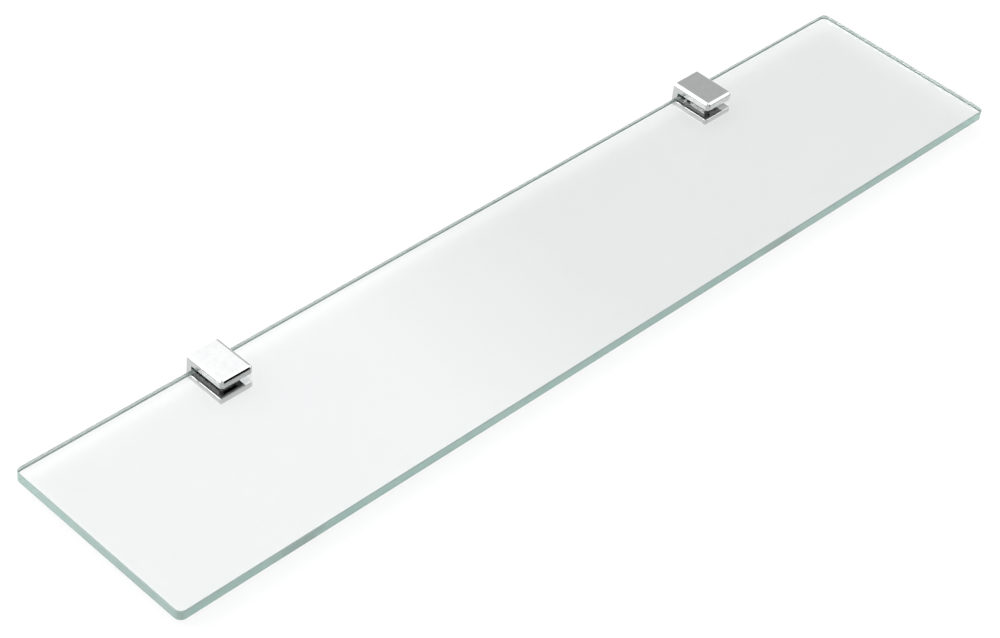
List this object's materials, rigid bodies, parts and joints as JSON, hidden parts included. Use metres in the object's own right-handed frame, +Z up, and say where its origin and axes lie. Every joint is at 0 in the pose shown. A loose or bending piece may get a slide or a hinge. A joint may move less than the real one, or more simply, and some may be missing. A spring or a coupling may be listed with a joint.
{
  "type": "glass wall shelf with clamp brackets",
  "caption": "Clear glass wall shelf with rounded corners, held by its back edge in chrome clamp brackets with set screws underneath.",
  "frame": {"origin": "on the wall plane, midway between the two brackets and level with their wall-screw holes", "axes": "+X along the shelf to the right as one faces the wall, +Y into the wall, +Z up"},
  "size_m": [0.6, 0.1245, 0.0171],
  "materials": {
    "clear_glass": "clear float glass with polished edges, faintly green",
    "bracket_chrome": "polished chrome plate",
    "pad_rubber": "matt black rubber",
    "plate_steel": "plain stainless steel sheet",
    "screw_steel": "plain stainless steel"
  },
  "bodies": {
    "brackets": {"left_bracket": "bracket_chrome", "left_upper_pad": "pad_rubber", "left_rear_buffers": "pad_rubber", "right_bracket": "bracket_chrome", "right_upper_pad": "pad_rubber", "right_rear_buffers": "pad_rubber"},
    "glass": {"glass_shelf": "clear_glass"},
    "left_clamp": {"left_pressure_plate": "plate_steel", "left_lower_pad": "pad_rubber"},
    "left_screw": {"left_set_screw": "screw_steel"},
    "right_clamp": {"right_pressure_plate": "plate_steel", "right_lower_pad": "pad_rubber"},
    "right_screw": {"right_set_screw": "screw_steel"}
  },
  "joints": [
    {"name": "glass_slide", "type": "slide", "parent": "brackets", "child": "glass", "axis": [0, -1, 0], "range_m": [0, 0.022]},
    {"name": "left_clamp_drop", "type": "slide", "parent": "brackets", "child": "left_clamp", "axis": [0, 0, -1], "range_m": [0, 0.0007]},
    {"name": "left_screw_turn", "type": "hinge", "parent": "left_clamp", "child": "left_screw", "pos_m": [-0.18, -0.01475, -0.00625], "axis": [0, 0, -1], "range_deg": [0, 360]},
    {"name": "right_clamp_drop", "type": "slide", "parent": "brackets", "child": "right_clamp", "axis": [0, 0, -1], "range_m": [0, 0.0007]},
    {"name": "right_screw_turn", "type": "hinge", "parent": "right_clamp", "child": "right_screw", "pos_m": [0.18, -0.01475, -0.00625], "axis": [0, 0, -1], "range_deg": [0, 360]}
  ],
  "couplings": [
    {"joint": "left_screw_turn", "follows": "left_clamp_drop", "rad_per_m": 8976},
    {"joint": "right_screw_turn", "follows": "right_clamp_drop", "rad_per_m": 8976}
  ]
}
